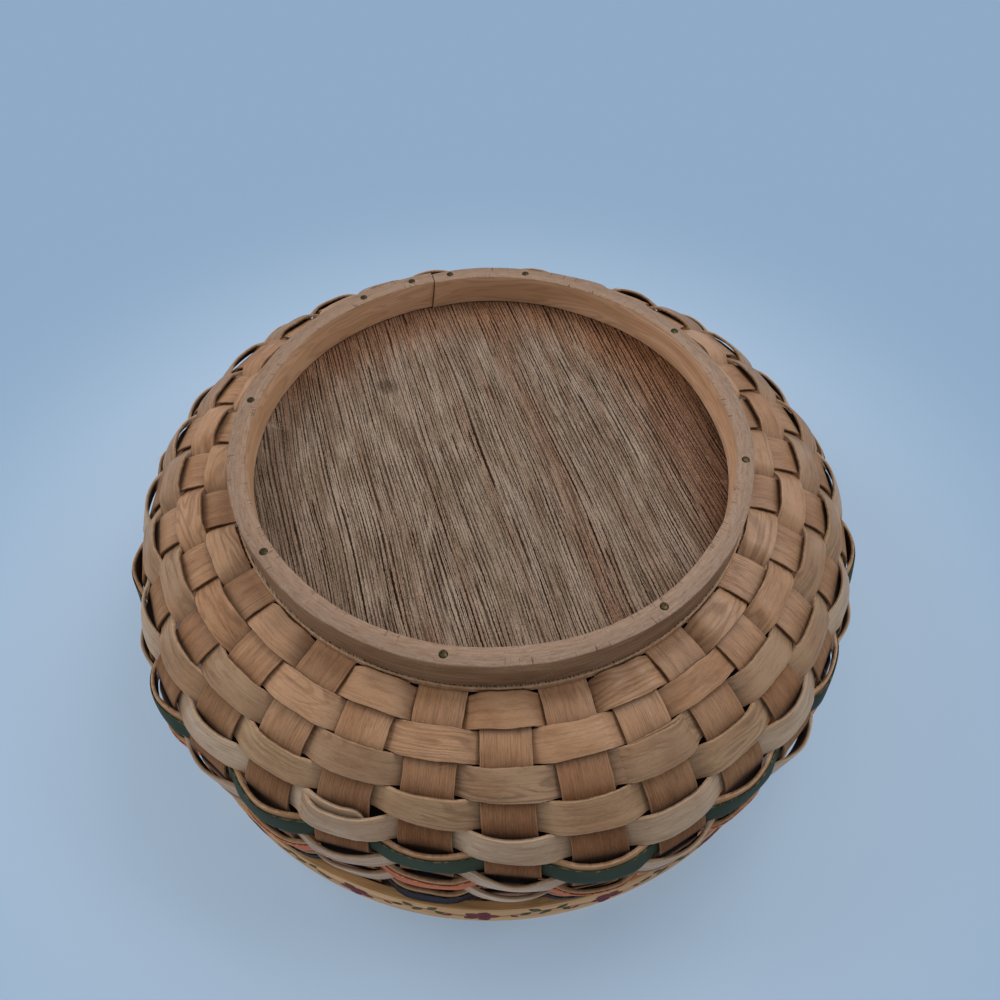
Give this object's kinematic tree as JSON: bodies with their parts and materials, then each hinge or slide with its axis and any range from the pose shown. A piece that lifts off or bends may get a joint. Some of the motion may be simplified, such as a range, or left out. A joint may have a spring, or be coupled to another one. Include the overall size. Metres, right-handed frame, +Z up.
{
  "type": "basket",
  "caption": "Round bowl-shaped basket of woven wooden splints with a full belly, painted rows, a double rim band and a boarded base nailed on a bent-wood foot hoop.",
  "frame": {"origin": "centre of the foot hoop's flat lower face, on which the basket stands", "axes": "+Z up through the middle of the mouth, +X and +Y level; the foot hoop's seam is near azimuth 75 degrees from +X towards +Y"},
  "size_m": [0.3052, 0.3052, 0.123],
  "materials": {
    "hoop_wood": "bare bent strip, scuffed",
    "plywood": "unsanded open-pored board",
    "stake_wood": "bare splint, slightly silky",
    "weaver_wood": "bare splint, slightly silky",
    "green_paint": "splint painted dark green, satin",
    "coral_paint": "splint painted coral, satin",
    "navy_paint": "splint painted dark navy, satin",
    "rim_wood": "bare smooth band",
    "nail": "dulled by age"
  },
  "bodies": {
    "root": {"foot_hoop": "hoop_wood", "base_board": "plywood", "inner_board": "plywood", "hoop_nail_01": "nail", "hoop_nail_02": "nail", "hoop_nail_03": "nail", "hoop_nail_04": "nail", "hoop_nail_05": "nail", "hoop_nail_06": "nail", "hoop_nail_07": "nail", "hoop_nail_08": "nail", "hoop_nail_09": "nail", "hoop_nail_10": "nail", "stake_01": "stake_wood", "stake_02": "stake_wood", "stake_03": "stake_wood", "stake_04": "stake_wood", "stake_05": "stake_wood", "stake_06": "stake_wood", "stake_07": "stake_wood", "stake_08": "stake_wood", "stake_09": "stake_wood", "stake_10": "stake_wood", "stake_11": "stake_wood", "stake_12": "stake_wood", "stake_13": "stake_wood", "stake_14": "stake_wood", "stake_15": "stake_wood", "stake_16": "stake_wood", "stake_17": "stake_wood", "stake_18": "stake_wood", "stake_19": "stake_wood", "stake_20": "stake_wood", "stake_21": "stake_wood", "stake_22": "stake_wood", "stake_23": "stake_wood", "stake_24": "stake_wood", "stake_25": "stake_wood", "stake_26": "stake_wood", "stake_27": "stake_wood", "stake_28": "stake_wood", "stake_29": "stake_wood", "stake_30": "stake_wood", "stake_31": "stake_wood", "stake_32": "stake_wood", "weaver_row_01": "weaver_wood", "weaver_row_02": "weaver_wood", "weaver_row_03": "weaver_wood", "weaver_row_04": "weaver_wood", "weaver_row_05": "weaver_wood", "weaver_row_06_green": "green_paint", "weaver_row_07": "weaver_wood", "weaver_row_08_coral": "coral_paint", "weaver_row_09": "weaver_wood", "weaver_row_10_navy": "navy_paint", "outer_rim_band": "rim_wood", "inner_rim_band": "rim_wood"}
  },
  "joints": []
}
